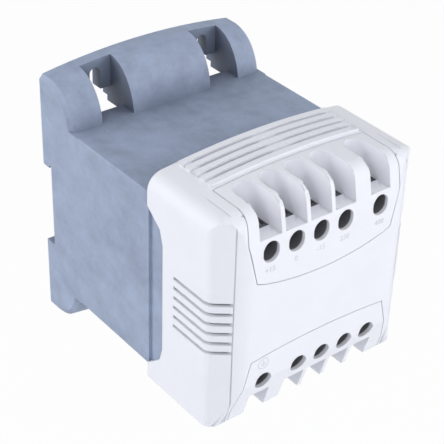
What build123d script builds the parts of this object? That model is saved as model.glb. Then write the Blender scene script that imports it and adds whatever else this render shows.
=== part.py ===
from build123d import *
import os
from math import asin, cos, degrees, radians, sin

# A control transformer that clips on a 35 mm top-hat rail or screws to a panel.
# Millimetres. X is the width, the front faces -Y and Z is up.
# The origin is the middle of the flat wall that lies against the rail.

os.makedirs("parts", exist_ok=True)

# The case behind
case_half_width = 45.0
case_top = 40.6
case_bottom = -35.7
case_lap = 13.5
case_wall = 2.4
flange_back = 5.5
flange_top = 59.6
foot_bottom = -54.2
flange_rise = 3.6
nose_depth = 15.8
nose_skirt = 1.2
nose_end_bevel = 1.6
case_edge_round = 0.8
rib = 2.2
shelf_back = 2.5

# The slot for the rail
rail_thickness = 1.0
slot_half = 17.65
slot_groove = 1.0
lip_height = 3.85

# Screw windows through both flanges, and the hollow behind them
first_window_x = -23.9
second_window_x = 26.7
window_width = 14.0
plate_margin = 5.0
screw_slot_width = 4.7
screw_row_drop = 6.7
screw_row_pitch = 100.0
pocket_depth = 7.7
upper_pocket_z = 28.0
lower_pocket_z = -23.0

# The cover in front
cover_step = 0.8
cover_wall = 1.6
cover_front = -108.7
cover_depth = 43.2
cover_top_rise = 10.2
cover_bottom_drop = 4.9
cover_top_radius = 318.0
corner_set_back = 8.1
face_inset = 10.6
corner_radius = 5.0
face_radius = 16.0
shoulder_radius = 6.5
brow_drop = 14.8
brow_lean = 0.4
brow_set_back = 3.2
brow_radius = 8.0
belly_z = 8.0
belly_flat = 10.0
chin_z = -24.0
chin_lean = 0.7
chin_set_back = 5.7
cheek_depth = 9.2
cheek_top_drop = 4.8
cheek_bottom_rise = 1.6
cheek_slope = 6.0
cheek_lean = 1.7
cheek_round = 3.0
lap_gap = 0.2
joint_gap = 0.3
seam_depth = 0.45
seam_inset = 7.3
seam_width = 0.3
seam_length = 18.7

# Terminals: four close together and one apart, the lower row mirrored
terminal_pitch = 11.17
terminal_edge = 25.05
upper_row_z = 32.2
lower_row_z = -24.4
tool_hole_width = 7.0
tool_hole_height = 8.2
lower_hole_radius = 3.6
chute_width = 9.4
chute_reach = 19.6
ledge_depth = 7.4
upper_ledge_rise = 5.5
lower_ledge_drop = 6.5
block_margin = 1.85
block_back_wall = 1.6
block_joint_depth = 21.8
block_reach = 30.0
bore_margin = 6.2
clamp_play = 0.65

# Joint lines round the terminal blocks, out from the block's side and up from its row
upper_joint_middle = 16.1
upper_joint_end = 12.6
upper_joint_end_in = 4.1
upper_joint_corner = 11.2
upper_joint_corner_in = 0.6
upper_joint_flare = 3.1
upper_joint_lean = 0.4
upper_joint_brow = 4.8
lower_joint_middle = 13.2
lower_joint_end = 11.4
lower_joint_corner = 10.6
lower_joint_flare = 5.7
joint_round = 2.0

# Air vents
louvre_count = 6
louvre_pitch = 4.16
louvre_height = 1.4
louvre_top_z = 14.1
louvre_reach = 27.5
louvre_inset = 7.1
bar_count = 5
bar_pitch = 4.12
bar_width = 2.5
bar_height = 1.1
bar_half_length = 33.6
bar_set_back = 2.4
vent_left = -29.5
vent_right = 32.0
bridge_left = -3.4
bridge_right = 4.6

# Laminated core, coil and bolts
core_side_gap = 0.6
core_end_gap = 0.75
core_stack = 48.0
core_limb = 14.0
coil_back_gap = 1.8
bolt_diameter = 4.0
bolt_head = 7.5
bolt_head_height = 3.0
bolt_bite = 6.0
washer_thickness = 1.2
post_width = 9.0
fit_gap = 0.2
tube_wall = 1.2
coil_margin = 0.3
coil_slack = 1.1
layer_gap = 0.1
sheet_build = 0.5
coil_corner = 0.4
hidden_sides = 12

# Terminal metal
clamp_width = 8.0
clamp_depth = 9.0
clamp_height = 7.5
clamp_wall = 1.0
clamp_set_back = 10.5
screw_set_back = 3.9
screw_shank = 3.5
screw_head = 6.4
screw_head_height = 2.4
screw_clearance = 0.05
screw_slot = 1.0
strip_width = 6.0
strip_thickness = 1.0
strip_set_back = 3.2
strip_lap = 3.0

# Rail latch with its flat spring
latch_width = 18.0
latch_thickness = 2.6
latch_y = 1.35
latch_overlap = 1.95
latch_tab_drop = 5.3
latch_clearance = 0.3
latch_lip = 2.2
latch_window_width = 9.2
latch_window_drop = 8.35
latch_stop_rise = 11.7
latch_stop_height = 2.5
latch_stop_width = 6.0
latch_side_room = 3.0
spring_wire = 0.7
spring_turns = 7
spring_gap = 0.1
spring_reach = 2.8
hook_chamfer = 1.8
tab_round = 2.5
tab_slot_rise = 2.6
tab_slot_width = 7.0
tab_slot_height = 2.2

# How far a cutting shape runs past what it cuts, short and long
past = 1.0
far = 200.0

cover_half_width = case_half_width + cover_step
cover_rear = cover_front + cover_depth
cover_top = case_top + cover_top_rise
cover_bottom = case_bottom - cover_bottom_drop
corner_y = cover_front + corner_set_back
face_half_width = cover_half_width - face_inset
brow_z = cover_top - brow_drop
case_front = cover_rear - case_lap
window_x = (first_window_x, second_window_x)
half_window = window_width / 2
upper_screw_z = flange_top - screw_row_drop
flange_radius = (case_half_width ** 2 + flange_rise ** 2) / (2 * flange_rise)
flange_half_angle = degrees(asin(case_half_width / (flange_radius - flange_top))) + 1

upper_x = [-terminal_edge + i * terminal_pitch for i in range(4)] + [terminal_edge]
lower_x = [-x for x in reversed(upper_x)]
upper_ledge_z = upper_row_z + upper_ledge_rise
lower_ledge_z = lower_row_z - lower_ledge_drop
block_half_width = terminal_edge + chute_width / 2 + block_margin
chute_apex = cover_front + chute_reach
block_rear = chute_apex + block_back_wall
block_joint_y = cover_front + block_joint_depth
clamp_front = cover_front + clamp_set_back
clamp_room = clamp_front - latch_clearance
head_seat = cover_front + screw_set_back + screw_head_height
strip_y = clamp_front + strip_set_back

core_half = case_half_width - case_wall - core_side_gap
core_height = case_top - case_bottom - 2 * (case_wall + core_end_gap)
core_z = (case_top + case_bottom) / 2
coil_window = core_half - 2 * core_limb
window_half = core_height / 2 - core_limb
core_back = fit_gap - case_wall - coil_back_gap - coil_window
core_front = core_back - core_stack
bolt_x = core_half - core_limb / 2
bolt_rise = (core_height - core_limb) / 2
bolt_tip = core_back + bolt_bite
bolt_seat = core_front - washer_thickness
bolt_places = [(x, core_z + z) for x in (-bolt_x, bolt_x) for z in (-bolt_rise, bolt_rise)]

latch_top = latch_overlap - slot_half
latch_window_top = -slot_half - latch_window_drop
latch_stop_z = foot_bottom + latch_stop_rise
latch_tab = foot_bottom - latch_tab_drop


def save(part, label):
    part.label = label
    export_step(part, "parts/" + label + ".step")


# A plain box between two opposite corners, joined to or cut from the piece at hand
def block(low, high, mode=Mode.ADD):
    with Locations(tuple((a + b) / 2 for a, b in zip(low, high))):
        Box(*[b - a for a, b in zip(low, high)], mode=mode)


def cut(low, high):
    block(low, high, Mode.SUBTRACT)


# A flange follows its arched edge: flat behind, with a rounded nose in front.
# Inset gives the hollow inside it; reach is how far the form runs towards the rail slot.
def flange_form(edge, base, sign, inset, reach):
    middle = base - sign * nose_skirt
    nose = nose_depth - inset
    rise = abs(edge - middle) - inset
    back = flange_back + 2 * inset
    pivot = Axis((0, 0, edge - sign * flange_radius), (0, 1, 0))
    with BuildSketch(Plane.YZ) as section:
        if inset:
            turns = [radians(360 * i / hidden_sides) for i in range(hidden_sides)]
            with BuildLine():
                Polyline(*[(nose * cos(t), middle + rise * sin(t)) for t in turns], close=True)
            make_face()
        else:
            with Locations((0, middle)):
                Ellipse(nose, rise)
        with Locations((back / 2, middle)):
            Rectangle(back, 2 * rise)
        root = sign * slot_half / 2
        with Locations((0, (middle + root) / 2)):
            Rectangle(2 * nose, abs(middle - root))
        with Locations(((back - nose) / 2, middle)):
            Rectangle(back + nose, 4 * case_top, mode=Mode.INTERSECT)
    with BuildPart() as form:
        revolve(section.sketch, axis=pivot, revolution_arc=flange_half_angle)
        mirror(about=Plane.YZ)
        half = case_half_width - inset
        ends = sorted((reach, sign * far))
        block((-half, -far, ends[0]), (half, far, ends[1]), Mode.INTERSECT)
    return form.part


# Outside of the cover, or its inside when inset is the wall.
# The brow is swept along the arched top; the plan and the shoulders then trim it.
def cover_form(inset):
    pivot = Axis((0, 0, cover_top - cover_top_radius), (0, 1, 0))
    half_angle = degrees(asin(cover_half_width / (cover_top_radius - cover_top + belly_z))) + 1
    belly_top = belly_z + belly_flat
    with BuildPart() as form:
        with BuildSketch(Plane.YZ) as upper:
            with BuildLine():
                Polyline(
                    (cover_rear, belly_z), (cover_front, belly_z), (cover_front, belly_top),
                    (cover_front + brow_lean, brow_z), (cover_front + brow_set_back, cover_top),
                    (cover_rear, cover_top), close=True,
                )
            make_face()
            fillet(upper.vertices().group_by(Axis.Z)[-1].sort_by(Axis.Y)[0], brow_radius)
            if inset:
                offset(amount=-inset, kind=Kind.INTERSECTION)
        revolve(axis=pivot, revolution_arc=half_angle)
        mirror(about=Plane.YZ)
        with BuildSketch(Plane.YZ):
            with BuildLine():
                Polyline(
                    (cover_rear, cover_bottom), (cover_front + chin_set_back, cover_bottom),
                    (cover_front + chin_lean, chin_z), (cover_front, belly_z - belly_flat / 2),
                    (cover_front, belly_top), (cover_rear, belly_top), close=True,
                )
            make_face()
            if inset:
                offset(amount=-inset, kind=Kind.INTERSECTION)
        extrude(amount=2 * cover_half_width, both=True)
        with BuildSketch(Plane.XY.offset(cover_bottom - past)) as plan:
            with BuildLine():
                Polyline(
                    (-cover_half_width, cover_rear), (-cover_half_width, corner_y),
                    (-face_half_width, cover_front), (face_half_width, cover_front),
                    (cover_half_width, corner_y), (cover_half_width, cover_rear), close=True,
                )
            make_face()
            fillet(plan.vertices().group_by(Axis.Y)[1], corner_radius)
            fillet(plan.vertices().group_by(Axis.Y)[0], face_radius)
            if inset:
                offset(amount=-inset, kind=Kind.INTERSECTION)
        extrude(amount=far, mode=Mode.INTERSECT)
        with BuildSketch(Plane.XZ) as face:
            with Locations((0, cover_top - cover_top_radius)):
                Circle(cover_top_radius - inset)
            Rectangle(2 * (cover_half_width - inset), 3 * cover_top, mode=Mode.INTERSECT)
            fillet(face.vertices().group_by(Axis.Y)[-1], shoulder_radius - inset)
        extrude(amount=far, both=True, mode=Mode.INTERSECT)
    return form.part


# The side of the case that stays bare, notched out of the cover's cheek
def cheek_notch(inset):
    depth = cover_rear - cheek_depth
    rear = cover_rear + case_lap
    top = case_top - cheek_top_drop
    bottom = case_bottom + cheek_bottom_rise
    with BuildSketch(Plane.YZ) as notch:
        with BuildLine():
            Polyline(
                (rear, top), (cover_rear, top), (depth + cheek_lean, top - cheek_slope),
                (depth, top - 2 * cheek_slope), (depth, bottom + 2 * cheek_slope),
                (depth + cheek_lean, bottom + cheek_slope), (cover_rear, bottom), (rear, bottom), close=True,
            )
        make_face()
        fillet(notch.vertices().sort_by(Axis.Y)[:4], cheek_round)
        if inset:
            offset(amount=-inset, kind=Kind.INTERSECTION)
    return notch.sketch


# Outline of the upper and lower terminal block on the front of the cover
def block_outline(upper, grow):
    side = block_half_width
    with BuildSketch(Plane.XZ.offset(-block_joint_y - grow)) as outline:
        with BuildLine():
            if upper:
                ends = [(side - upper_joint_end_in, upper_row_z - upper_joint_end)]
                ends.append((side - upper_joint_corner_in, upper_row_z - upper_joint_corner))
                corner = ends[-1]
                ends.append((side + upper_joint_flare, upper_row_z + upper_joint_brow))
                ends.append((side + upper_joint_flare - upper_joint_lean, cover_top))
                ends.append((side + upper_joint_flare - upper_joint_lean, cover_top + bore_margin))
                middle = upper_row_z - upper_joint_middle
            else:
                ends = [(side, lower_row_z + lower_joint_end)]
                corner = ends[0]
                ends.append((side + lower_joint_flare, lower_row_z - lower_joint_corner))
                ends.append((side + lower_joint_flare, cover_bottom - bore_margin))
                middle = lower_row_z + lower_joint_middle
            mirrored = [(-x, z) for x, z in ends]
            ThreePointArc(mirrored[0], (0, middle), ends[0])
            Polyline(*ends, *reversed(mirrored))
        make_face()
        corners = outline.vertices().filter_by(lambda v: abs(abs(v.X) - corner[0]) < 0.01)
        fillet(corners.filter_by(lambda v: abs(v.Z - corner[1]) < 0.01), joint_round)
        offset(amount=grow, kind=Kind.INTERSECTION)
    return outline.sketch


# Plan of a wire chute with a round back, from front to its apex
def chute_plan(x, front):
    turn = chute_apex - chute_width / 2
    with BuildSketch() as plan:
        with Locations((x, turn)):
            Circle(chute_width / 2)
        with Locations((x, (front + turn) / 2)):
            Rectangle(chute_width, turn - front)
    return plan.sketch


# A closed ring round the centre limb, for the bobbin tube and each layer of the coil
def ring(inner, thickness):
    outer = inner + thickness
    with BuildSketch(Plane.XY.offset(core_z)) as loop:
        with Locations((0, core_back - core_stack / 2)):
            for growth, mode in ((outer, Mode.ADD), (inner, Mode.SUBTRACT)):
                with BuildSketch(mode=Mode.PRIVATE) as outline:
                    Rectangle(2 * (core_limb + growth), core_stack + 2 * growth)
                    chamfer(outline.vertices(), growth * coil_corner)
                add(outline.sketch, mode=mode)
    return loop.sketch


flange_sides = (
    (1, flange_top, case_top, upper_pocket_z),
    (-1, foot_bottom, case_bottom, lower_pocket_z),
)

# Forms shared by more than one piece
cover_outside = cover_form(0)
cover_inside = cover_form(cover_wall)
seam_inside = cover_form(seam_depth)
flange_outsides = [flange_form(edge, base, sign, 0, sign * slot_half) for sign, edge, base, _ in flange_sides]
flange_insides = [flange_form(edge, base, sign, case_wall, base) for sign, edge, base, _ in flange_sides]

latch_room = (
    (-latch_width / 2 - latch_side_room, -pocket_depth - past, foot_bottom - far),
    (latch_width / 2 + latch_side_room, far, -slot_half),
)

with BuildPart() as flange_hollows:
    for form in flange_insides:
        add(form)
    for x in window_x:
        edge = half_window + rib
        cut((x - edge, -far, -far), (x + edge, far, far))
    cut(*latch_room)

with BuildPart() as rear_pockets:
    inner_x = case_half_width - case_wall
    for sign, edge, base, pocket in flange_sides:
        shelf = base - sign * case_wall
        lip = sign * (slot_half + lip_height)
        steps = ((-pocket_depth, pocket, shelf), (0, lip, pocket), (shelf_back, shelf, base))
        for y_from, z_from, z_to in steps:
            low = (-inner_x, y_from, min(z_from, z_to))
            high = (inner_x, flange_back + past, max(z_from, z_to))
            block(low, high)
    for x in (window_x[0] - half_window - rib, -rib / 2, window_x[1] - half_window - rib):
        cut((x, -far, -far), (x + rib, far, far))
    cut(*latch_room)

# Rebate that the cheeks of the cover lap over
with BuildPart() as cheek_lap:
    with BuildSketch(Plane.YZ):
        with Locations(((case_front + cover_rear + joint_gap) / 2 - past, 0)):
            Rectangle(cover_rear - case_front + joint_gap + 2 * past, 4 * case_top)
        add(cheek_notch(joint_gap), mode=Mode.SUBTRACT)
    extrude(amount=2 * case_half_width, both=True)
    lapped = cover_half_width - cover_wall - lap_gap
    cut((-lapped, 2 * case_front, -2 * case_top), (lapped, 0, 2 * case_top))

with BuildPart() as rear_housing:
    bare_end = -nose_depth - 2 * nose_end_bevel
    block((-case_half_width, case_front, case_bottom), (case_half_width, bare_end, case_top))
    fillet(rear_housing.edges().filter_by(Axis.Y), case_edge_round)
    block((-case_half_width, bare_end, case_bottom), (case_half_width, 0, case_top))
    for form in flange_outsides:
        add(form)
    ends = rear_housing.edges().filter_by(lambda e: abs(abs(e.center().X) - case_half_width) < 0.01)
    ends = ends.filter_by(lambda e: -nose_depth < e.center().Y < -1 and e.geom_type != GeomType.LINE)
    chamfer(ends, nose_end_bevel)
    # Hollow for the core and coil, deeper behind the coil
    with BuildSketch(Plane.YZ):
        with Locations(((case_front - pocket_depth - case_wall) / 2, core_z)):
            Rectangle(-case_front - pocket_depth - case_wall, case_top - case_bottom - 2 * case_wall)
        with Locations(((case_front - case_wall) / 2, (upper_pocket_z + lower_pocket_z) / 2)):
            Rectangle(-case_front - case_wall, upper_pocket_z - lower_pocket_z - 2 * case_wall)
    extrude(amount=case_half_width - case_wall, both=True, mode=Mode.SUBTRACT)
    # Posts that the core is bolted to
    post_root = pocket_depth + case_wall - past
    with BuildSketch(Plane.XZ.offset(post_root)):
        with Locations(*bolt_places):
            Rectangle(post_width, post_width)
    extrude(amount=-core_back - post_root)
    with BuildSketch(Plane.XZ.offset(-bolt_tip - past / 2)):
        with Locations(*bolt_places):
            RegularPolygon(bolt_diameter / 2 + screw_clearance, hidden_sides)
    extrude(amount=-core_back + bolt_tip + past / 2, mode=Mode.SUBTRACT)
    # Hollow flanges and the pockets behind
    add(flange_hollows.part, mode=Mode.SUBTRACT)
    add(rear_pockets.part, mode=Mode.SUBTRACT)
    # Screw windows, open in front, with a keyhole plate behind each
    for sign, edge, base, pocket in flange_sides:
        plate = base + sign * plate_margin
        screw_z = upper_screw_z if sign > 0 else upper_screw_z - screw_row_pitch
        for x in window_x:
            low, high = sorted((base, edge + sign * past))
            cut((x - half_window, -far, low), (x + half_window, 0, high))
            low, high = sorted((pocket, plate))
            cut((x - half_window, -pocket_depth, low), (x + half_window, flange_back + past, high))
            with BuildSketch(Plane.XZ.offset(-flange_back - past)):
                with Locations((x, screw_z)):
                    Circle(screw_slot_width / 2)
                with Locations((x, screw_z - window_width / 2)):
                    Rectangle(screw_slot_width, window_width)
            extrude(amount=flange_back + past, mode=Mode.SUBTRACT)
    # Undercut that takes the upper edge of the rail
    groove_low = (-case_half_width - past, 0, slot_half - slot_groove)
    cut(groove_low, (case_half_width + past, rail_thickness + latch_clearance, slot_half + slot_groove))
    # Way for the latch, its two retaining lips and the stop that the spring pushes against
    side = latch_width / 2 + latch_clearance
    front = latch_y - latch_clearance
    back = latch_y + latch_thickness + latch_clearance
    lip = side - latch_lip
    cut((-side, front, foot_bottom - past), (side, back, latch_top))
    cut((-lip, front, foot_bottom - past), (lip, flange_back + past, latch_top))
    stop_low = (-latch_stop_width / 2, front - past / 2, latch_stop_z)
    block(stop_low, (latch_stop_width / 2, latch_y + latch_thickness, latch_stop_z + latch_stop_height))
    add(cheek_lap.part, mode=Mode.SUBTRACT)
save(rear_housing.part, "rear_housing")


# Slots and joints of the front: cover shell first, then the two terminal blocks parted from it
with BuildPart() as shell:
    add(cover_outside)
    # Raised bars of the top vent
    for i in range(bar_count):
        with BuildSketch(Plane.XZ.offset(-cover_rear + bar_set_back + i * bar_pitch - bar_width / 2)):
            with Locations((0, cover_top - cover_top_radius)):
                Circle(cover_top_radius + bar_height)
            with Locations((0, cover_top)):
                Rectangle(2 * bar_half_length, 4 * bar_height, mode=Mode.INTERSECT)
        extrude(amount=bar_width)
    add(cover_inside, mode=Mode.SUBTRACT)
    cut(
        (cover_wall - cover_half_width, case_front, case_bottom - lap_gap),
        (cover_half_width - cover_wall, cover_rear + past, case_top + lap_gap),
    )
    extrude(cheek_notch(0), amount=far, both=True, mode=Mode.SUBTRACT)
    for i in range(bar_count - 1):
        slot_y = cover_rear - bar_set_back - (i + 0.5) * bar_pitch
        half = (bar_pitch - bar_width) / 2
        for low, high in ((vent_left, bridge_left), (bridge_right, vent_right)):
            cut((low, slot_y - half, case_top), (high, slot_y + half, cover_top + past))
    for i in range(louvre_count):
        z = louvre_top_z - i * louvre_pitch
        inner, outer = cover_half_width - louvre_inset, cover_half_width + past
        for low, high in ((inner, outer), (-outer, -inner)):
            cut(
                (low, cover_front - past, z - louvre_height / 2),
                (high, cover_front + louvre_reach, z + louvre_height / 2),
            )

# Fine upright seam beside each cheek
with BuildPart() as seams:
    for x in (seam_inset - cover_half_width, cover_half_width - seam_inset):
        low = (x - seam_width / 2, cover_front - past, cover_bottom - past)
        block(low, (x + seam_width / 2, cover_front + seam_length, cover_top + past))
    add(cover_outside, mode=Mode.INTERSECT)
    add(seam_inside, mode=Mode.SUBTRACT)

with BuildPart() as front_cover:
    add(shell.part)
    add(seams.part, mode=Mode.SUBTRACT)
    for upper in (True, False):
        extrude(block_outline(upper, 0), amount=block_reach, mode=Mode.SUBTRACT)
save(front_cover.part, "front_cover")


# A terminal block: its share of the shell, with bores for the screwdriver and chutes for the wires
def terminal_block(upper, row_x, row_z, ledge):
    sign = 1 if upper else -1
    end = cover_top + past if upper else cover_bottom - past
    root = row_z - sign * bore_margin
    with BuildPart() as skin:
        add(shell.part)
        extrude(block_outline(upper, -joint_gap), amount=block_reach, mode=Mode.INTERSECT)
    with BuildPart() as form:
        low, high = sorted((root, end))
        block((-block_half_width, cover_front - past, low), (block_half_width, block_rear, high))
        add(cover_outside, mode=Mode.INTERSECT)
        add(skin.part)
        for x in row_x:
            plan = chute_plan(x, cover_front - past)
            extrude(Pos(0, 0, ledge) * plan, amount=sign * block_reach, mode=Mode.SUBTRACT)
            well = row_z + sign * (clamp_height / 2 + clamp_play)
            plan = chute_plan(x, cover_front + ledge_depth)
            extrude(Pos(0, 0, well) * plan, amount=ledge - well, mode=Mode.SUBTRACT)
            low, high = sorted((root - sign * past, well))
            cut((x - chute_width / 2, clamp_room, low), (x + chute_width / 2, block_rear + past, high))
            with BuildSketch(Plane.XZ.offset(-clamp_room - past)):
                with Locations((x, row_z)):
                    if upper:
                        SlotOverall(tool_hole_height, tool_hole_width, rotation=90)
                    else:
                        Circle(lower_hole_radius)
            extrude(amount=block_reach, mode=Mode.SUBTRACT)
    return form.part


with BuildPart() as upper_terminal_block:
    add(terminal_block(True, upper_x, upper_row_z, upper_ledge_z))
save(upper_terminal_block.part, "upper_terminal_block")

with BuildPart() as lower_terminal_block:
    add(terminal_block(False, lower_x, lower_row_z, lower_ledge_z))
save(lower_terminal_block.part, "lower_terminal_block")

# Rail latch: hook above, window for its spring, tab with a screwdriver slot below
with BuildPart() as rail_latch:
    half = latch_width / 2
    block((-half, latch_y, latch_tab), (half, latch_y + latch_thickness, latch_top))
    chamfer(rail_latch.edges().filter_by(Axis.X).group_by(Axis.Z)[-1].sort_by(Axis.Y)[-1], hook_chamfer)
    fillet(rail_latch.edges().filter_by(Axis.Y).group_by(Axis.Z)[0], tab_round)
    window_z = latch_stop_z - latch_clearance
    cut((-latch_window_width / 2, -far, window_z), (latch_window_width / 2, far, latch_window_top))
    with BuildSketch(Plane.XZ):
        with Locations((0, latch_tab + tab_slot_rise)):
            SlotOverall(tab_slot_width, tab_slot_height)
    extrude(amount=far, both=True, mode=Mode.SUBTRACT)
save(rail_latch.part, "rail_latch")

# Flat spring, folded to and fro between the stop and the top of the window
with BuildPart() as latch_spring:
    top = latch_window_top - spring_gap
    low = latch_stop_z + latch_stop_height + spring_gap
    step = (top - low - 2 * spring_wire) / spring_turns
    points = [(0, top), (0, top - spring_wire)]
    for i in range(spring_turns):
        points.append((spring_reach if i % 2 else -spring_reach, top - spring_wire - (i + 0.5) * step))
    points += [(0, low + spring_wire), (0, low)]
    with BuildSketch(Plane.XZ.offset(-latch_y - spring_gap * 2)):
        with BuildLine():
            Polyline(*points)
        trace(line_width=spring_wire)
    extrude(amount=-(latch_thickness - 4 * spring_gap))
save(latch_spring.part, "latch_spring")

# Bolts go through the four corners of the core
limb_z = core_z + window_half
with BuildSketch(Plane.XZ) as bolt_holes:
    with Locations(*bolt_places):
        RegularPolygon(bolt_diameter / 2 + screw_clearance, hidden_sides)

with BuildPart() as core_e_stack:
    block((-core_half, core_front, core_z - core_height / 2), (core_half, core_back, limb_z))
    for low, high in ((-core_limb - coil_window, -core_limb), (core_limb, core_limb + coil_window)):
        cut((low, core_front - past, core_z - window_half), (high, core_back + past, limb_z + past))
    extrude(bolt_holes.sketch, amount=far, both=True, mode=Mode.SUBTRACT)
save(core_e_stack.part, "core_e_stack")

with BuildPart() as core_i_stack:
    block((-core_half, core_front, limb_z), (core_half, core_back, core_z + core_height / 2))
    extrude(bolt_holes.sketch, amount=far, both=True, mode=Mode.SUBTRACT)
save(core_i_stack.part, "core_i_stack")

coil_half = window_half - fit_gap
spool_half = coil_half - tube_wall - layer_gap

with BuildPart() as bobbin:
    extrude(ring(fit_gap, tube_wall), amount=coil_half, both=True)
    for z in (core_z - coil_half, core_z + coil_half - tube_wall):
        flange = core_limb + coil_window - coil_margin
        overhang = coil_window - fit_gap
        block((-flange, core_front - overhang, z), (flange, core_back + overhang, z + tube_wall))
    middle = (core_front + core_back) / 2
    hole_x, hole_y = core_limb + fit_gap, core_stack / 2 + fit_gap
    cut((-hole_x, middle - hole_y, core_z - 2 * coil_half), (hole_x, middle + hole_y, core_z + 2 * coil_half))
save(bobbin.part, "bobbin")

# Coil layers from the inside out; the two windings share the room that is left
coil_start = fit_gap + tube_wall + layer_gap
coil_room = coil_window - coil_margin - coil_slack - coil_start - 3 * layer_gap - 2 * sheet_build
winding_build = coil_room / 2
insulation_start = coil_start + winding_build + layer_gap
secondary_start = insulation_start + sheet_build + layer_gap
tape_start = secondary_start + winding_build + layer_gap

with BuildPart() as primary_winding:
    extrude(ring(coil_start, winding_build), amount=spool_half, both=True)
save(primary_winding.part, "primary_winding")

with BuildPart() as winding_insulation:
    extrude(ring(insulation_start, sheet_build), amount=spool_half, both=True)
save(winding_insulation.part, "winding_insulation")

with BuildPart() as secondary_winding:
    extrude(ring(secondary_start, winding_build), amount=spool_half, both=True)
save(secondary_winding.part, "secondary_winding")

with BuildPart() as outer_tape:
    extrude(ring(tape_start, sheet_build), amount=spool_half, both=True)
save(outer_tape.part, "outer_tape")

with BuildPart() as core_bolts:
    with BuildSketch(Plane.XZ.offset(-bolt_tip)):
        with Locations(*bolt_places):
            RegularPolygon(bolt_diameter / 2, hidden_sides)
    extrude(amount=bolt_tip - bolt_seat)
    with BuildSketch(Plane.XZ.offset(-bolt_seat)):
        with Locations(*bolt_places):
            RegularPolygon(bolt_head / 2, 6, major_radius=False)
    extrude(amount=bolt_head_height)
save(core_bolts.part, "core_bolts")

with BuildPart() as core_washers:
    with BuildSketch(Plane.XZ.offset(-core_front)):
        with Locations(*bolt_places[1:]):
            RegularPolygon(post_width / 2, 2 * hidden_sides)
            RegularPolygon(bolt_diameter / 2 + screw_clearance, hidden_sides, mode=Mode.SUBTRACT)
    extrude(amount=washer_thickness)
save(core_washers.part, "core_washers")

# Contact strips, from the coil's edge up or down through their clamps
coil_top = core_z + coil_half
coil_bottom = core_z - coil_half
strip_half = strip_width / 2
strip_front = strip_y + strip_thickness
strip_rear = core_front - strip_lap

with BuildPart() as upper_contact_bars:
    for x in upper_x:
        left, right = x - strip_half, x + strip_half
        block((left, strip_y, coil_top), (right, strip_front, upper_row_z + clamp_height / 2))
        block((left, strip_y, coil_top), (right, strip_rear, coil_top + strip_thickness))
save(upper_contact_bars.part, "upper_contact_bars")

with BuildPart() as lower_contact_bars:
    for x in lower_x[1:]:
        left, right = x - strip_half, x + strip_half
        block((left, strip_y, lower_row_z - clamp_height / 2), (right, strip_front, coil_bottom))
        block((left, strip_y, coil_bottom - strip_thickness), (right, strip_rear, coil_bottom))
save(lower_contact_bars.part, "lower_contact_bars")

# Earth strap from the first lower terminal back to a bolt of the core
with BuildPart() as earth_strap:
    left, right = lower_x[0] - strip_half, lower_x[0] + strip_half
    bolt = bolt_places[0]
    block((left, strip_y, lower_row_z - clamp_height / 2), (right, strip_front, coil_bottom))
    block((left, strip_y, coil_bottom - strip_thickness), (right, core_front, coil_bottom))
    eye_low = (bolt[0] - strip_half - past, bolt_seat, bolt[1] - strip_half - past)
    block(eye_low, (right, core_front, coil_bottom))
    with BuildSketch(Plane.XZ.offset(-core_front)):
        with Locations(bolt):
            RegularPolygon(bolt_diameter / 2 + screw_clearance, hidden_sides)
    extrude(amount=washer_thickness, mode=Mode.SUBTRACT)
save(earth_strap.part, "earth_strap")


# A row of clamping screws, backed out as they are delivered
def screw_row(row_x, row_z):
    places = [(x, row_z) for x in row_x]
    with BuildPart() as row:
        with BuildSketch(Plane.XZ.offset(-strip_y)):
            with Locations(*places):
                RegularPolygon(screw_shank / 2, hidden_sides)
        extrude(amount=strip_y - head_seat)
        with BuildSketch(Plane.XZ.offset(-head_seat)):
            with Locations(*places):
                RegularPolygon(screw_head / 2, 2 * hidden_sides)
        extrude(amount=screw_head_height)
        for x in row_x:
            slot_low = (x - screw_head, head_seat - screw_head_height - past, row_z - screw_slot / 2)
            cut(slot_low, (x + screw_head, head_seat - screw_head_height / 2, row_z + screw_slot / 2))
    return row.part


with BuildPart() as upper_terminal_screws:
    add(screw_row(upper_x, upper_row_z))
save(upper_terminal_screws.part, "upper_terminal_screws")

with BuildPart() as lower_terminal_screws:
    add(screw_row(lower_x, lower_row_z))
save(lower_terminal_screws.part, "lower_terminal_screws")

# One open box clamp to each terminal
for row, row_x, row_z in (("upper", upper_x, upper_row_z), ("lower", lower_x, lower_row_z)):
    for number, x in enumerate(row_x, 1):
        with BuildPart() as clamp:
            half = clamp_width / 2
            low = row_z - clamp_height / 2
            back = clamp_front + clamp_depth
            block((x - half, clamp_front, low), (x + half, back, low + clamp_height))
            cut(
                (x - half + clamp_wall, clamp_front + clamp_wall, low - past),
                (x + half - clamp_wall, back - clamp_wall, low + clamp_height + past),
            )
            with BuildSketch(Plane.XZ.offset(-clamp_front - clamp_wall)):
                with Locations((x, row_z)):
                    RegularPolygon(screw_shank / 2 + screw_clearance, hidden_sides)
            extrude(amount=clamp_wall, mode=Mode.SUBTRACT)
        save(clamp.part, f"clamp_{row}_{number}")
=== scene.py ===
import math

import bmesh
import bpy
from mathutils import Matrix, Vector


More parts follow.
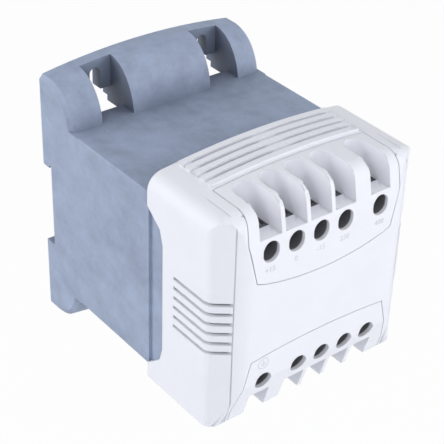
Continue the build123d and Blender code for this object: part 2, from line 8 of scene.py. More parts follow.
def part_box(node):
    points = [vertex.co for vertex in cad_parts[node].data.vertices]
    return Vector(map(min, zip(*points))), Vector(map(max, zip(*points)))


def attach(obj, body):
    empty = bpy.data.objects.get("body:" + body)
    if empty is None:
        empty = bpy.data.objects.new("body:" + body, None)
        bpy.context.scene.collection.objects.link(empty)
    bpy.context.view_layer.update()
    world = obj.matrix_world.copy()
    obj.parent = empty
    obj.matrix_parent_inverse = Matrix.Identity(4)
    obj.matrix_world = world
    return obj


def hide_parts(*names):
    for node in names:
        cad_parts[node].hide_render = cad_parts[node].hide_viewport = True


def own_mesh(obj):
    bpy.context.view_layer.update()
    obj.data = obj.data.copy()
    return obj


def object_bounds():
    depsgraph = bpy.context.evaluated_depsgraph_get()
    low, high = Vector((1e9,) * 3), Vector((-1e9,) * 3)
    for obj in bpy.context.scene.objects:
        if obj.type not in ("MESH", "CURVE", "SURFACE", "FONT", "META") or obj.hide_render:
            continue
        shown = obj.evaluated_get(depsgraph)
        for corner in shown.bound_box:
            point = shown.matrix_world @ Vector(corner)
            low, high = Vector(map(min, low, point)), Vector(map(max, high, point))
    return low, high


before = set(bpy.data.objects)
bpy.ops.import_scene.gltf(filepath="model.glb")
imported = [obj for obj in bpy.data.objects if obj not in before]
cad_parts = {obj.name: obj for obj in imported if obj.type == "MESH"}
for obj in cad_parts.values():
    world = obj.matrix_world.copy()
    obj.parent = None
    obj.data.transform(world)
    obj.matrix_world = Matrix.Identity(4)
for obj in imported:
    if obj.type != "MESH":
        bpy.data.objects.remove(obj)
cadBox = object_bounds()
mm = 0.001
print("frame loaded with", len(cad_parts), "nodes")

# Small helpers that every section uses


def linked(name, data):
    item = bpy.data.objects.new(name, data)
    bpy.context.scene.collection.objects.link(item)
    return item


def evaluatedMesh(holder):
    # the plain mesh that a text or a live modifier makes, without its holder
    bpy.context.view_layer.update()
    made = bpy.data.meshes.new_from_object(holder.evaluated_get(bpy.context.evaluated_depsgraph_get()))
    bpy.data.objects.remove(holder)
    return made


# The camera stands where the photograph was taken from

cameraSet = {
    "place": (-269.16 * mm, -383.92 * mm, 286.67 * mm),
    "azimuth": -38.892,    # degrees round the object, 0 looks along +Y
    "elevation": 33.478,
    "roll": 1.948,
    "lens": 108.21,
    "sensor": 36.0,
}


def makeCamera(spec):
    azimuth = math.radians(spec["azimuth"])
    elevation = math.radians(spec["elevation"])
    back = Vector((
        math.sin(azimuth) * math.cos(elevation),
        -math.cos(azimuth) * math.cos(elevation),
        math.sin(elevation),
    ))
    right = (-back).cross(Vector((0, 0, 1))).normalized()
    up = back.cross(right)
    roll = Matrix.Rotation(math.radians(spec["roll"]), 3, "Z")
    turn = Matrix((right, up, back)).transposed() @ roll
    data = bpy.data.cameras.new("camera")
    data.lens = spec["lens"]
    data.sensor_width = spec["sensor"]
    data.clip_start = 0.01
    data.clip_end = 20
    camera = linked("camera", data)
    camera.matrix_world = Matrix.Translation(spec["place"]) @ turn.to_4x4()
    bpy.context.scene.camera = camera


makeCamera(cameraSet)
print("camera set")


# Shader maths written as plain expressions

class Wire:
    def __init__(self, graph, socket):
        self.graph = graph
        self.socket = socket

    def maths(self, operation, first, second):
        return self.graph.node("ShaderNodeMath", {"operation": operation}, {0: first, 1: second}).out(0)

    def __add__(self, other):
        return self.maths("ADD", self, other)

    def __radd__(self, other):
        return self.maths("ADD", other, self)

    def __sub__(self, other):
        return self.maths("SUBTRACT", self, other)

    def __rsub__(self, other):
        return self.maths("SUBTRACT", other, self)

    def __mul__(self, other):
        return self.maths("MULTIPLY", self, other)

    def __rmul__(self, other):
        return self.maths("MULTIPLY", other, self)

    def __truediv__(self, other):
        return self.maths("DIVIDE", self, other)

    def __rtruediv__(self, other):
        return self.maths("DIVIDE", other, self)

    def __pow__(self, other):
        return self.maths("POWER", self, other)

    def atLeast(self, other):
        return self.maths("MAXIMUM", self, other)


class NodeHandle:
    def __init__(self, graph, node):
        self.graph = graph
        self.node = node

    def out(self, name):
        return Wire(self.graph, self.node.outputs[name])


class Graph:
    def __init__(self, tree):
        self.tree = tree

    def node(self, kind, settings=None, sockets=None):
        made = self.tree.nodes.new(kind)
        for name, value in (settings or {}).items():
            setattr(made, name, value)
        for name, value in (sockets or {}).items():
            self.feed(made.inputs[name], value)
        return NodeHandle(self, made)

    def feed(self, socket, value):
        if isinstance(value, list):
            for wire in value:
                self.tree.links.new(wire.socket, socket)
        elif isinstance(value, Wire):
            self.tree.links.new(value.socket, socket)
        else:
            socket.default_value = value


class Finish(Graph):
    def __init__(self, name):
        self.material = bpy.data.materials.new(name)
        self.material.use_nodes = True
        super().__init__(self.material.node_tree)
        self.shader = self.tree.nodes["Principled BSDF"]
        self.place = self.node("ShaderNodeTexCoord").out("Object")

    def principled(self, **values):
        for name, value in values.items():
            self.feed(self.shader.inputs[name.replace("_", " ")], value)

    def noise(self, size, detail=2.0, roughness=0.5, vector=None):
        made = self.node("ShaderNodeTexNoise", None, {
            "Vector": vector or self.place, "Scale": 1 / size, "Detail": detail, "Roughness": roughness,
        })
        return made.out("Fac")

    def mix(self, amount, low, high):
        made = self.node("ShaderNodeMix", {"data_type": "RGBA"}, {0: amount, 6: low, 7: high})
        return made.out(2)

    def bump(self, height, depth, normal=None):
        sockets = {"Height": height, "Distance": depth, "Strength": 1.0}
        if normal:
            sockets["Normal"] = normal
        return self.node("ShaderNodeBump", None, sockets).out("Normal")

    def bevel(self, radius):
        return self.node("ShaderNodeBevel", {"samples": 4}, {"Radius": radius}).out("Normal")

    def stretch(self, scale):
        return self.node("ShaderNodeMapping", None, {"Vector": self.place, "Scale": scale}).out("Vector")

    def spread(self, value, low, high):
        return self.node("ShaderNodeMapRange", None, {0: value, 1: low, 2: high}).out(0)

    def openness(self, reach):
        # one in the open, falling in slots and corners; it sets how much shade is painted into the colour
        return self.node("ShaderNodeAmbientOcclusion", {"samples": 8}, {"Distance": reach}).out("AO")

    def axis(self, letter):
        return self.node("ShaderNodeSeparateXYZ", None, {"Vector": self.place}).out(letter)

    def ridges(self, value, pitch):
        # rises to one and falls back once in each pitch
        half = pitch / 2
        return self.node("ShaderNodeMath", {"operation": "PINGPONG"}, {0: value, 1: half}).out(0) / half

    def arrises(self, radius, gain):
        # nothing on flats, rising to one where two faces meet
        flat = self.node("ShaderNodeNewGeometry").out("Normal")
        bent = self.bevel(radius)
        same = self.node("ShaderNodeVectorMath", {"operation": "DOT_PRODUCT"}, {0: flat, 1: bent})
        return self.spread((1 - same.out("Value")) * gain, 0.0, 1.0)


def linear(red, green, blue):
    parts = [value / 255 for value in (red, green, blue)]
    return tuple(v / 12.92 if v <= 0.04045 else ((v + 0.055) / 1.055) ** 2.4 for v in parts) + (1.0,)


def shade(colour, factor):
    return tuple(min(1.0, v * factor) for v in colour[:3]) + (1.0,)


# Moulded plastics: flow marks and cloud, a spark-eroded grain, lighter arrises, and shade painted into slots,
# corners and holes

blendSet = {
    "flow": 0.5,         # shares of the three patterns in the colour
    "cloud": 0.4,
    "speck": 0.1,
    "speckScale": 2.5,   # size of a speck in grains
    "low": 0.36,         # where the mixed pattern is darkest and lightest
    "high": 0.64,
}


def mouldedPlastic(name, look):
    finish = Finish(name)
    flow = finish.noise(look["flowSize"], 4, 0.6, finish.stretch(look["flowScale"]))
    cloud = finish.noise(look["cloudSize"], 3, 0.55)
    speck = finish.noise(look["grainSize"] * blendSet["speckScale"], 1)
    pattern = flow * blendSet["flow"] + cloud * blendSet["cloud"] + speck * blendSet["speck"]
    blend = finish.spread(pattern, blendSet["low"], blendSet["high"])
    dark = shade(look["colour"], 1 - look["variation"])
    light = shade(look["colour"], 1 + look["variation"])
    body = finish.mix(blend, dark, light)
    # the colour is made lighter along every edge
    pale = shade(look["colour"], look["lightArrisTone"])
    lightArrises = finish.mix(finish.arrises(look["lightArrisWidth"], look["lightArrisGain"]), body, pale)
    # painted shade: the colour darkens towards the shade colour where ambient occlusion finds slots, corners
    # and nearby walls
    paintedShade = (1 - finish.openness(look["paintedShadeReach"])) * look["paintedShade"]
    if "paintedShadeRange" in look:
        paintedShade = paintedShade * finish.spread(finish.axis("Y"), *look["paintedShadeRange"])
    # painted shade deep inside the terminal holes
    if "inner" in look:
        paintedShade = paintedShade.atLeast(innerShare(finish, look["inner"]))
    grain = finish.noise(look["grainSize"], 2, 0.6)
    broad = finish.noise(look["waveSize"], 1)
    height = grain * look["grainDepth"] + broad * look["waveDepth"]
    finish.principled(
        Base_Color=finish.mix(paintedShade, lightArrises, look["paintedShadeColour"]),
        Roughness=look["roughness"] + (cloud - 0.5) * look["roughnessChange"],
        Normal=finish.bump(height, 1.0, finish.bevel(look["arris"])),
        Specular_IOR_Level=look["specular"],
    )
    return finish.material


# Share of shade painted inside a terminal block's holes: behind its front wall, which leans back, and past
# its ledge

def innerShare(finish, inner):
    beyond = (finish.axis("Z") - inner["leanFrom"]) * inner["side"]
    leaning = beyond.atLeast(0.0) * inner["lean"]
    behind = finish.spread(finish.axis("Y") - leaning, inner["wall"], inner["wall"] + inner["fade"])
    past = finish.spread((inner["ledge"] - finish.axis("Z")) * inner["side"], 0.0, inner["fade"])
    return behind * past * inner["share"]


caseLook = {
    "colour": linear(151, 164, 188),
    "variation": 0.16,           # share that the pattern darkens and lightens the colour
    "flowSize": 15 * mm,
    "flowScale": (1, 0.45, 1),   # flow marks are drawn out from back to front
    "cloudSize": 6 * mm,
    "grainSize": 0.5 * mm,
    "grainDepth": 0.03 * mm,
    "waveSize": 24 * mm,         # broad sink marks
    "waveDepth": 0.12 * mm,
    "roughness": 0.55,
    "roughnessChange": 0.16,
    "specular": 0.4,
    "arris": 0.4 * mm,           # rounding of every edge
    "lightArrisWidth": 0.7 * mm,
    "lightArrisGain": 3.0,
    "lightArrisTone": 1.22,
    "paintedShadeReach": 42 * mm,      # how far round a spot other walls paint shade on it
    # share and colour of the painted shade
    "paintedShade": 1.0,
    "paintedShadeRange": (-70 * mm, -35 * mm),    # painted shade on the flange end only
    "paintedShadeColour": linear(46, 50, 61),
}
coverLook = {
    "colour": linear(236, 238, 245),
    "variation": 0.01,
    "flowSize": 16 * mm,
    "flowScale": (1, 0.5, 1),
    "cloudSize": 9 * mm,
    "grainSize": 0.5 * mm,
    "grainDepth": 0.01 * mm,
    "waveSize": 30 * mm,
    "waveDepth": 0.08 * mm,
    "roughness": 0.58,
    "roughnessChange": 0.1,
    "specular": 0.3,
    "arris": 0.4 * mm,
    "lightArrisWidth": 0.5 * mm,
    "lightArrisGain": 2.0,
    "lightArrisTone": 1.02,
    # painted shade in the louvre slots, chutes and seams, and its colour
    "paintedShadeReach": 6 * mm,
    "paintedShade": 0.15,
    "paintedShadeColour": linear(150, 152, 160),
}
# the latch and the bobbin take the housing's painted shade, in a darker colour
latchLook = dict(
    caseLook, colour=linear(38, 40, 43), variation=0.08, roughness=0.45, paintedShadeColour=linear(18, 18, 20),
)
bobbinLook = dict(latchLook, colour=linear(46, 47, 50), variation=0.06, grainDepth=0.01 * mm)
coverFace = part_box("front_cover")[0].y    # the cover's foremost plane
# where shade is painted inside the terminal holes
innerLook = {
    "wall": coverFace + 1.4 * mm,    # back of the block's front wall
    "fade": 0.5 * mm,
    "share": 0.93,
}
upperBoreShade = dict(innerLook, ledge=37.4 * mm, side=1.0, leanFrom=36 * mm, lean=0.19)
lowerBoreShade = dict(
    innerLook, wall=coverFace + 2.1 * mm, ledge=-30.6 * mm, side=-1.0, leanFrom=-24 * mm, lean=0.301,
)
# the terminal blocks get more painted shade than the cover, in a darker colour
blockLook = dict(coverLook, paintedShadeColour=linear(84, 85, 89), paintedShade=0.2)


# Rolled or plated metal with fine drawn lines along one axis

def drawnMetal(name, look):
    finish = Finish(name)
    lines = finish.noise(look["lineSize"], 3, 0.6, finish.stretch(look["lineScale"]))
    stain = finish.noise(look["stainSize"], 3)
    dull, bright = shade(look["colour"], look["dull"]), shade(look["colour"], look["bright"])
    finish.principled(
        Base_Color=finish.mix(stain, dull, bright),
        Metallic=1.0,
        Roughness=look["roughness"] + (lines - 0.5) * look["lineGloss"] + (stain - 0.5) * look["stainGloss"],
        Normal=finish.bump(lines, look["lineDepth"], finish.bevel(look["arris"])),
    )
    return finish.material


zincLook = {
    "colour": (0.62, 0.63, 0.64, 1),
    "lineScale": (1, 1, 0.15),
    "lineSize": 0.3 * mm,
    "lineDepth": 0.01 * mm,
    "lineGloss": 0.2,    # how far lines and stains change the roughness
    "stainSize": 4 * mm,
    "stainGloss": 0.12,
    "dull": 0.82,
    "bright": 1.12,
    "roughness": 0.34,
    "arris": 0.15 * mm,
}
brassLook = dict(zincLook, colour=(0.78, 0.56, 0.25, 1), lineScale=(1, 0.15, 1), roughness=0.3)
springLook = dict(zincLook, colour=(0.5, 0.51, 0.53, 1), roughness=0.28)
screwLook = dict(
    zincLook, colour=(0.085, 0.085, 0.09, 1), stainSize=2 * mm, roughness=0.42, arris=0.08 * mm,
)


# Dull stacked sheets of the core, one edge every half millimetre

def laminatedSteel(name, look):
    finish = Finish(name)
    edge = finish.ridges(finish.axis("Y"), look["sheet"])
    rust = finish.noise(look["stainSize"], 4, 0.65)
    finish.principled(
        Base_Color=finish.mix(rust, look["steel"], look["oxide"]),
        Metallic=look["metallic"],
        Roughness=look["roughness"] + (rust - 0.5) * look["roughnessChange"],
        Normal=finish.bump(edge ** look["crown"], look["groove"]),
    )
    return finish.material


coreLook = {
    "sheet": 0.5 * mm,
    "groove": 0.06 * mm,
    "crown": 0.4,        # the lower, the flatter the sheet's edge
    "metallic": 0.75,
    "roughness": 0.48,
    "roughnessChange": 0.3,
    "stainSize": 9 * mm,
    "steel": (0.24, 0.25, 0.27, 1),
    "oxide": (0.13, 0.12, 0.12, 1),
}


# Enamelled wire wound round the limb, turn above turn

def woundWire(name, look):
    finish = Finish(name)
    turn = finish.ridges(finish.axis("Z"), look["wire"])
    tone = finish.noise(look["toneSize"], 2)
    finish.principled(
        Base_Color=finish.mix(tone, look["dark"], look["light"]),
        Metallic=look["metallic"],
        Roughness=look["roughness"] + (tone - 0.5) * look["roughnessChange"],
        Coat_Weight=look["enamel"],
        Normal=finish.bump(turn ** look["crown"], look["wire"] * look["height"]),
    )
    return finish.material


primaryLook = {
    "wire": 0.6 * mm,
    "crown": 0.5,
    "height": 0.35,      # share of the wire that stands out
    "metallic": 0.85,
    "enamel": 0.6,
    "roughness": 0.26,
    "roughnessChange": 0.12,
    "toneSize": 3 * mm,
    "dark": (0.42, 0.13, 0.05, 1),
    "light": (0.62, 0.24, 0.1, 1),
}
secondaryLook = dict(primaryLook, wire=1.5 * mm, dark=(0.48, 0.16, 0.06, 1), light=(0.7, 0.28, 0.12, 1))


# Amber film, cloudy and a little wrinkled

def amberFilm(name, look):
    finish = Finish(name)
    cloud = finish.noise(look["cloudSize"], 3)
    wrinkle = finish.noise(look["wrinkleSize"], 4, 0.6)
    finish.principled(
        Base_Color=finish.mix(cloud, look["dark"], look["light"]),
        Roughness=look["roughness"] + (cloud - 0.5) * look["roughnessChange"],
        Normal=finish.bump(wrinkle, look["wrinkleDepth"]),
    )
    return finish.material


filmLook = {
    "cloudSize": 12 * mm,
    "wrinkleSize": 6 * mm,
    "wrinkleDepth": 0.2 * mm,
    "roughness": 0.3,
    "roughnessChange": 0.15,
    "dark": (0.5, 0.33, 0.08, 1),
    "light": (0.66, 0.47, 0.14, 1),
}

casePlastic = mouldedPlastic("casePlastic", caseLook)
coverPlastic = mouldedPlastic("coverPlastic", coverLook)
upperBlockPlastic = mouldedPlastic("upperBlockPlastic", dict(blockLook, inner=upperBoreShade))
lowerBlockPlastic = mouldedPlastic("lowerBlockPlastic", dict(blockLook, inner=lowerBoreShade))
latchPlastic = mouldedPlastic("latchPlastic", latchLook)
bobbinPlastic = mouldedPlastic("bobbinPlastic", bobbinLook)
zincSteel = drawnMetal("zincSteel", zincLook)
screwSteel = drawnMetal("screwSteel", screwLook)
stripBrass = drawnMetal("stripBrass", brassLook)
springSteel = drawnMetal("springSteel", springLook)
coreSteel = laminatedSteel("coreSteel", coreLook)
primaryWire = woundWire("primaryWire", primaryLook)
secondaryWire = woundWire("secondaryWire", secondaryLook)
insulationFilm = amberFilm("insulationFilm", filmLook)

nodeFinishes = {
    "rear_housing": casePlastic,
    "front_cover": coverPlastic,
    "upper_terminal_block": upperBlockPlastic,
    "lower_terminal_block": lowerBlockPlastic,
    "rail_latch": latchPlastic,
    "latch_spring": springSteel,
    "core_e_stack": coreSteel,
    "core_i_stack": coreSteel,
    "bobbin": bobbinPlastic,
    "primary_winding": primaryWire,
    "secondary_winding": secondaryWire,
    "winding_insulation": insulationFilm,
    "outer_tape": insulationFilm,
    "core_bolts": zincSteel,
    "core_washers": zincSteel,
    "upper_contact_bars": stripBrass,
    "lower_contact_bars": stripBrass,
    "earth_strap": stripBrass,
}
for name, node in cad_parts.items():
    node.data.materials.clear()
    node.data.materials.append(nodeFinishes.get(name, zincSteel))
print("finishes on", len(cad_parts), "nodes")


# Raised characters beside the terminals

markLook = dict(coverLook, colour=linear(211, 214, 225), variation=0.03, arris=0.03 * mm)
markPlastic = mouldedPlastic("markPlastic", markLook)
numberSet = {
    "words": ("+15", "0", "-15", "230", "400"),
    "across": (-25.3, -13.8, -2.6, 8.5, 25.1),    # millimetres
    "height": 25.0,
    "behind": 0.16,      # how far the leaning face is behind the cover's foremost plane
    "lean": 1.27,        # degrees that the face leans back
    "size": 3.0,
    "raise": 0.12,
}


def textMesh(word, size, thickness):
    curve = bpy.data.curves.new("word", "FONT")
    curve.body = word
    curve.size = size
    curve.align_x = "CENTER"
    curve.align_y = "CENTER"
    curve.extrude = thickness / 2
    curve.resolution_u = 3
    return evaluatedMesh(linked("word", curve))


def standUp(across, height, spec):
    # what lies in XY stands on a face of the cover that looks to the front
    turn = Matrix.Rotation(math.radians(90 - spec["lean"]), 4, "X")
    return Matrix.Translation((across * mm, coverFace + spec["behind"] * mm, height * mm)) @ turn


def addPiece(name, mesh, material):
    mesh.materials.clear()
    mesh.materials.append(material)
    piece = linked(name, mesh)
    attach(piece, "transformer")
    return piece


def joinMeshes(name, parts):
    # meshes at their places become one closed mesh whose faces look outward
    whole = bmesh.new()
    for mesh, place in parts:
        copy = mesh.copy()
        copy.transform(place)
        whole.from_mesh(copy)
        bpy.data.meshes.remove(copy)
    bmesh.ops.remove_doubles(whole, verts=whole.verts, dist=0.001 * mm)
    bmesh.ops.recalc_face_normals(whole, faces=whole.faces)
    joined = bpy.data.meshes.new(name)
    whole.to_mesh(joined)
    whole.free()
    return joined


def mergedCopy(name, mesh):
    return joinMeshes(name, [(mesh, Matrix.Identity(4))])


def makeNumbers(spec):
    parts = []
    for word, across in zip(spec["words"], spec["across"]):
        mesh = textMesh(word, spec["size"] * mm, spec["raise"] * mm)
        parts.append((mesh, standUp(across, spec["height"], spec)))
    addPiece("terminalNumbers", joinMeshes("terminalNumbers", parts), markPlastic)


makeNumbers(numberSet)

earthSet = {
    "across": -25.7,
    "height": -15.8,
    "behind": 0.49,
    "lean": -1.49,
    "ring": 2.3,         # radius of the circle
    "line": 0.3,
    "bars": (            # each one's centre, across and up, then its width and height
        (0.0, 0.75, 0.3, 1.7),
        (0.0, 0.0, 2.4, 0.3),
        (0.0, -0.6, 1.6, 0.3),
        (0.0, -1.2, 0.8, 0.3),
    ),
    "steps": 40,
    "raise": 0.12,
}


def makeEarthMark(spec):
    mark = bmesh.new()
    loops = []
    for radius in (spec["ring"] + spec["line"] / 2, spec["ring"] - spec["line"] / 2):
        for depth in (-spec["raise"] / 2, spec["raise"] / 2):
            loop = []
            for step in range(spec["steps"]):
                angle = 2 * math.pi * step / spec["steps"]
                loop.append(mark.verts.new((radius * math.cos(angle), radius * math.sin(angle), depth)))
            loops.append(loop)
    outerLow, outerHigh, innerLow, innerHigh = loops
    around = (outerLow, outerHigh, innerHigh, innerLow, outerLow)
    for first, second in zip(around, around[1:]):
        for step in range(spec["steps"]):
            after = (step + 1) % spec["steps"]
            mark.faces.new((first[step], first[after], second[after], second[step]))
    for x, y, width, height in spec["bars"]:
        made = bmesh.ops.create_cube(mark, size=1.0)
        bmesh.ops.scale(mark, vec=(width, height, spec["raise"]), verts=made["verts"])
        bmesh.ops.translate(mark, vec=(x, y, 0), verts=made["verts"])
    bmesh.ops.recalc_face_normals(mark, faces=mark.faces)
    mesh = bpy.data.meshes.new("earthMark")
    mark.to_mesh(mesh)
    mark.free()
    mesh.transform(Matrix.Scale(mm, 4))
    mesh.transform(standUp(spec["across"], spec["height"], spec))
    addPiece("earthMark", mesh, markPlastic)


makeEarthMark(earthSet)
print("marks made")


# The cover's brow is rounded by a cutter, swept along the arched top, that trims copies of the moulded pieces

browSet = {
    "pieces": {"front_cover": "frontCover", "upper_terminal_block": "upperTerminalBlock"},
    "front": (0.4, 36.0),     # behind the cover's face and height, where the brow starts to lean
    "corner": (3.2, 50.8),    # the same for the sharp edge that is rounded
    "radius": 6.5,
    "arch": 318.0,            # radius of the arched top
    "halfAngle": 9.0,
    "steps": 36,
    "arcSteps": 14,
    "clear": 4.0,             # how far the cutter stands out past the brow
    "clearAhead": 6.0,
    "smoothAngle": 24.0,
}


def browCutter(spec):
    corner = Vector((spec["corner"][0], spec["corner"][1]))
    down = (Vector(spec["front"]) - corner).normalized()
    back = Vector((1.0, 0.0))
    half = down.angle(back) / 2
    inward = (down + back).normalized()
    centre = corner + inward * spec["radius"] / math.sin(half)
    reach = spec["radius"] / math.tan(half)
    start, end = corner + down * reach - centre, corner + back * reach - centre
    sweep = start.angle(end)
    section = []
    for step in range(spec["arcSteps"] + 1):
        share = step / spec["arcSteps"]
        ray = (start * math.sin((1 - share) * sweep) + end * math.sin(share * sweep)) / math.sin(sweep)
        section.append(centre + ray)
    section.append(section[-1] + Vector((0, spec["clear"])))
    section.append(corner + Vector((-spec["clearAhead"], spec["clear"])))
    section.append(section[0] + Vector((-spec["clear"], 0)))
    pivot = spec["corner"][1] - spec["arch"]
    cutter = bmesh.new()
    rings = []
    for step in range(spec["steps"] + 1):
        angle = math.radians(spec["halfAngle"]) * (2 * step / spec["steps"] - 1)
        ring = []
        for behind, height in section:
            radius = height - pivot
            across = radius * math.sin(angle)
            up = pivot + radius * math.cos(angle)
            ring.append(cutter.verts.new((across * mm, coverFace + behind * mm, up * mm)))
        rings.append(ring)
    for near, far in zip(rings, rings[1:]):
        for first in range(len(section)):
            second = (first + 1) % len(section)
            cutter.faces.new((near[first], near[second], far[second], far[first]))
    cutter.faces.new(rings[0])
    cutter.faces.new(rings[-1])
    bmesh.ops.recalc_face_normals(cutter, faces=cutter.faces)
    mesh = bpy.data.meshes.new("browCutter")
    cutter.to_mesh(mesh)
    cutter.free()
    return mesh


def applied(mesh, kind, settings):
    # the mesh as one modifier leaves it
    holder = linked("holder", mesh)
    modifier = holder.modifiers.new("step", kind)
    for name, value in settings.items():
        setattr(modifier, name, value)
    return evaluatedMesh(holder)


def roundBrow(spec):
    cutter = linked("browCutter", browCutter(spec))
    for cadNode, name in spec["pieces"].items():
        whole = mergedCopy(name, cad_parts[cadNode].data)
        trimmed = applied(whole, "BOOLEAN", {"operation": "DIFFERENCE", "solver": "EXACT", "object": cutter})
        mesh = mergedCopy(name, trimmed)
        mesh.shade_smooth()
        mesh.set_sharp_from_angle(angle=math.radians(spec["smoothAngle"]))
        mesh = applied(mesh, "WEIGHTED_NORMAL", {"mode": "FACE_AREA", "keep_sharp": True})
        piece = addPiece(name, mesh, nodeFinishes[cadNode])
        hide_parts(cadNode)
        print(name, "faces", len(mesh.polygons))
    bpy.data.objects.remove(cutter)


roundBrow(browSet)
print("brow rounded")


# The latch's flat spring stands on the housing's stop; the real one is pressed together as the latch is drawn
# down, while this copy keeps the solids' shape


def makeLatchSpring():
    mesh = mergedCopy("latchSpring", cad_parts["latch_spring"].data)
    piece = addPiece("latchSpring", mesh, springSteel)
    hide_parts("latch_spring")
    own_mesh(piece)


makeLatchSpring()
print("latch spring made")


# Terminal screws: geometry nodes put a slotted head and a threaded shank at every place of a row

screwSet = {
    "Head Radius": 3.1,
    "Head Height": 2.2,
    "Edge Width": 0.3,
    "Slot Width": 0.9,
    "Slot Depth": 1.1,
    "Shank Radius": 1.7,
    "Thread Pitch": 0.7,
    "Thread Depth": 0.28,
}
screwMesh = {
    "headSides": 40,
    "headRings": 6,
    "edgeLevel": 0.45,     # above this share of its height the head is drawn in
    "shankSides": 24,
    "turnSteps": 20,
    "ridgeSides": 6,
    "threaded": 0.9,       # share of the shank that has the thread
    "plainEnd": 0.05,
}
rowSet = {
    "pitch": 11.17,
    "together": 4,         # screws at the even pitch, with one more apart
    "headRadius": 3.2,     # of the solids' screws, which these replace
    "turn": 1.2,           # radians that a slot may stand turned either way
    "seeds": {"upper": 3, "lower": 8},
}


class Recipe(Graph):
    def __init__(self, name, inputs):
        super().__init__(bpy.data.node_groups.new(name, "GeometryNodeTree"))
        self.keys = {}
        self.tree.interface.new_socket("Geometry", in_out="OUTPUT", socket_type="NodeSocketGeometry")
        for label, kind in inputs.items():
            made = self.tree.interface.new_socket(label, in_out="INPUT", socket_type="NodeSocket" + kind)
            self.keys[label] = made.identifier
        self.source = self.node("NodeGroupInput")

    def given(self, label):
        return self.source.out(label)

    def finishWith(self, geometry):
        self.node("NodeGroupOutput", None, {0: geometry})

    def vector(self, x=0.0, y=0.0, z=0.0):
        return self.node("ShaderNodeCombineXYZ", None, {0: x, 1: y, 2: z}).out(0)

    def moved(self, geometry, offset):
        return self.node("GeometryNodeTransform", None, {"Geometry": geometry, "Translation": offset}).out(0)

    def drum(self, sides, rings, radius, depth):
        return self.node("GeometryNodeMeshCylinder", None, {
            "Vertices": sides, "Side Segments": rings, "Radius": radius, "Depth": depth,
        }).out(0)

    def joined(self, *parts):
        return self.node("GeometryNodeJoinGeometry", None, {0: list(parts)}).out(0)


def screwRecipe():
    sizes = {label: "Float" for label in screwSet}
    recipe = Recipe("terminalScrews", dict(
        sizes, Start="Vector", Pitch="Float", Count="Int", Lone="Vector",
        Length="Float", Seed="Int", Finish="Material",
    ))
    given = recipe.given
    radius, depth = given("Head Radius"), given("Head Height")

    # head: a drum whose upper edge is drawn in, with a slot cut across it
    drum = recipe.drum(screwMesh["headSides"], screwMesh["headRings"], radius, depth)
    place = recipe.node("GeometryNodeInputPosition").out(0)
    height = recipe.node("ShaderNodeSeparateXYZ", None, {0: place}).out("Z")
    edge = depth * screwMesh["edgeLevel"]
    top = recipe.node("FunctionNodeCompare", {"operation": "GREATER_THAN"}, {0: height, 1: edge}).out(0)
    drawn = given("Edge Width") / radius * -1
    inward = recipe.node("ShaderNodeVectorMath", {"operation": "MULTIPLY"}, {
        0: place, 1: recipe.vector(drawn, drawn),
    })
    drum = recipe.node("GeometryNodeSetPosition", None, {
        "Geometry": drum, "Selection": top, "Offset": inward.out(0),
    }).out(0)
    slot = recipe.node("GeometryNodeMeshCube", None, {
        "Size": recipe.vector(radius * 3, given("Slot Width"), given("Slot Depth") * 2),
    }).out(0)
    slot = recipe.moved(slot, recipe.vector(0.0, 0.0, depth / 2))
    head = recipe.node("GeometryNodeMeshBoolean", {"operation": "DIFFERENCE"}, {0: drum, 1: slot}).out(0)
    head = recipe.moved(head, recipe.vector(0.0, 0.0, depth / -2))

    # shank: a core with a ridge wound round it
    length = given("Length") - depth
    coreRadius = given("Shank Radius") - given("Thread Depth")
    core = recipe.drum(screwMesh["shankSides"], 1, coreRadius, length)
    core = recipe.moved(core, recipe.vector(0.0, 0.0, length / -2 - depth))
    helix = recipe.node("GeometryNodeCurveSpiral", None, {
        "Resolution": screwMesh["turnSteps"],
        "Rotations": length / given("Thread Pitch") * screwMesh["threaded"],
        "Height": length * -screwMesh["threaded"],
        "Start Radius": coreRadius,
        "End Radius": coreRadius,
    }).out(0)
    ridge = recipe.node("GeometryNodeCurvePrimitiveCircle", None, {
        "Resolution": screwMesh["ridgeSides"], "Radius": given("Thread Depth"),
    }).out(0)
    thread = recipe.node("GeometryNodeCurveToMesh", None, {
        "Curve": helix, "Profile Curve": ridge, "Fill Caps": True,
    }).out(0)
    thread = recipe.moved(thread, recipe.vector(0.0, 0.0, depth * -1 - length * screwMesh["plainEnd"]))
    screw = recipe.joined(head, core, thread)

    # places: some at an even pitch and one apart, each turned its own way
    row = recipe.node("GeometryNodeMeshLine", None, {
        "Count": given("Count"), "Start Location": given("Start"), "Offset": recipe.vector(given("Pitch")),
    }).out(0)
    alone = recipe.node("GeometryNodeMeshLine", None, {"Count": 1, "Start Location": given("Lone")}).out(0)
    screws = recipe.node("GeometryNodeInstanceOnPoints", None, {
        "Points": recipe.joined(row, alone), "Instance": screw, "Rotation": (math.pi / 2, 0, 0),
    }).out(0)
    turn = recipe.node("FunctionNodeRandomValue", {"data_type": "FLOAT"}, {
        2: -rowSet["turn"], 3: rowSet["turn"], "Seed": given("Seed"),
    }).out(1)
    screws = recipe.node("GeometryNodeRotateInstances", None, {
        "Instances": screws, "Rotation": recipe.vector(0.0, 0.0, turn), "Local Space": True,
    }).out(0)
    whole = recipe.node("GeometryNodeRealizeInstances", None, {0: screws}).out(0)
    steel = recipe.node("GeometryNodeSetMaterial", None, {"Geometry": whole, "Material": given("Finish")})
    recipe.finishWith(steel.out(0))
    return recipe


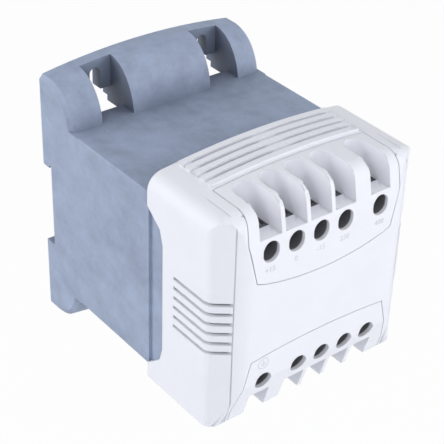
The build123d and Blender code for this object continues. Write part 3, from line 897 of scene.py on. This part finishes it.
def makeScrewRow(recipe, row):
    cadNode = row + "_terminal_screws"
    low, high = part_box(cadNode)
    level = (low.z + high.z) / 2
    left, right = low.x + rowSet["headRadius"] * mm, high.x - rowSet["headRadius"] * mm
    step = rowSet["pitch"] * mm * (1 if row == "upper" else -1)
    first, lone = (left, right) if row == "upper" else (right, left)
    values = {label: size * mm for label, size in screwSet.items()}
    values.update({
        "Start": (first, low.y, level),
        "Lone": (lone, low.y, level),
        "Pitch": step,
        "Count": rowSet["together"],
        "Length": high.y - low.y,
        "Seed": rowSet["seeds"][row],
        "Finish": screwSteel,
    })
    holder = linked("holder", bpy.data.meshes.new("holder"))
    builder = holder.modifiers.new("builder", "NODES")
    builder.node_group = recipe.tree
    for label, value in values.items():
        builder[recipe.keys[label]] = value
    mesh = mergedCopy(row + "Screws", evaluatedMesh(holder))
    piece = addPiece(row + "Screws", mesh, screwSteel)
    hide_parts(cadNode)
    return len(mesh.polygons)


screwKit = screwRecipe()
faceCounts = [makeScrewRow(screwKit, row) for row in ("upper", "lower")]
print("screw rows made, faces", faceCounts)


# Floor, backdrop and light

stageSet = {
    "floorDrop": 0.09,
    "size": 3.0,
    "floorColour": (0.86, 0.87, 0.89, 1),
    "shownWhite": 0.95,      # share of plain white that the camera sees
}


def shownRays(graph):
    # one for the camera's rays and for what mirrors and clear pieces show of the surroundings
    rays = graph.node("ShaderNodeLightPath")
    return rays.out("Is Camera Ray") + rays.out("Is Glossy Ray") + rays.out("Is Transmission Ray")


def makeStage(spec):
    mesh = bpy.data.meshes.new("floor")
    half = spec["size"]
    low = cadBox[0].z - spec["floorDrop"]
    corners = [(-half, -half, low), (half, -half, low), (half, half, low), (-half, half, low)]
    mesh.from_pydata(corners, [], [(0, 1, 2, 3)])
    floor = linked("floor", mesh)
    finish = Finish("floorPaper")
    finish.principled(Base_Color=spec["floorColour"], Roughness=0.9)
    seen = shownRays(finish) * spec["shownWhite"]
    glow = finish.node("ShaderNodeEmission", None, {"Color": (1, 1, 1, 1), "Strength": 1.0})
    blend = finish.node("ShaderNodeMixShader", None, {
        0: seen, 1: Wire(finish, finish.shader.outputs[0]), 2: glow.out(0),
    })
    finish.feed(finish.tree.nodes["Material Output"].inputs["Surface"], blend.out(0))
    mesh.materials.append(finish.material)


lampSet = {
    "left": {"from": (-1.1, -0.6, 1.0), "size": 1.0, "power": 5.0},
    "front": {"from": (-0.3, -1.5, 0.6), "size": 1.0, "power": 7.5},
    "right": {"from": (1.3, -1.0, 0.5), "size": 1.0, "power": 11},
    "back": {"from": (-1.1, 0.9, 0.6), "size": 1.0, "power": 13},
    "top": {"from": (0.1, -0.7, 1.6), "size": 1.0, "power": 3.4},
}


def makeLamps(lamps):
    centre = (cadBox[0] + cadBox[1]) / 2
    for name, spec in lamps.items():
        data = bpy.data.lights.new(name, "AREA")
        data.shape = "SQUARE"
        data.size = spec["size"]
        data.energy = spec["power"]
        lamp = linked(name, data)
        lamp.location = spec["from"]
        lamp.rotation_mode = "QUATERNION"
        lamp.rotation_quaternion = (centre - lamp.location).to_track_quat("-Z", "Y")


worldSet = {"tone": (0.93, 0.95, 1.0, 1), "strength": 0.24, "shown": 1.0}


def makeWorld(spec):
    world = bpy.data.worlds.new("studio")
    bpy.context.scene.world = world
    world.use_nodes = True
    sky = Graph(world.node_tree)
    light = world.node_tree.nodes["Background"]
    sky.feed(light.inputs["Color"], spec["tone"])
    sky.feed(light.inputs["Strength"], spec["strength"])
    seen = sky.node("ShaderNodeBackground", None, {"Color": (1, 1, 1, 1), "Strength": spec["shown"]})
    blend = sky.node("ShaderNodeMixShader", None, {
        0: shownRays(sky), 1: Wire(sky, light.outputs[0]), 2: seen.out(0),
    })
    sky.feed(world.node_tree.nodes["World Output"].inputs["Surface"], blend.out(0))


makeStage(stageSet)
makeLamps(lampSet)
makeWorld(worldSet)
bpy.context.scene.view_settings.view_transform = "Standard"
print("stage and light set")
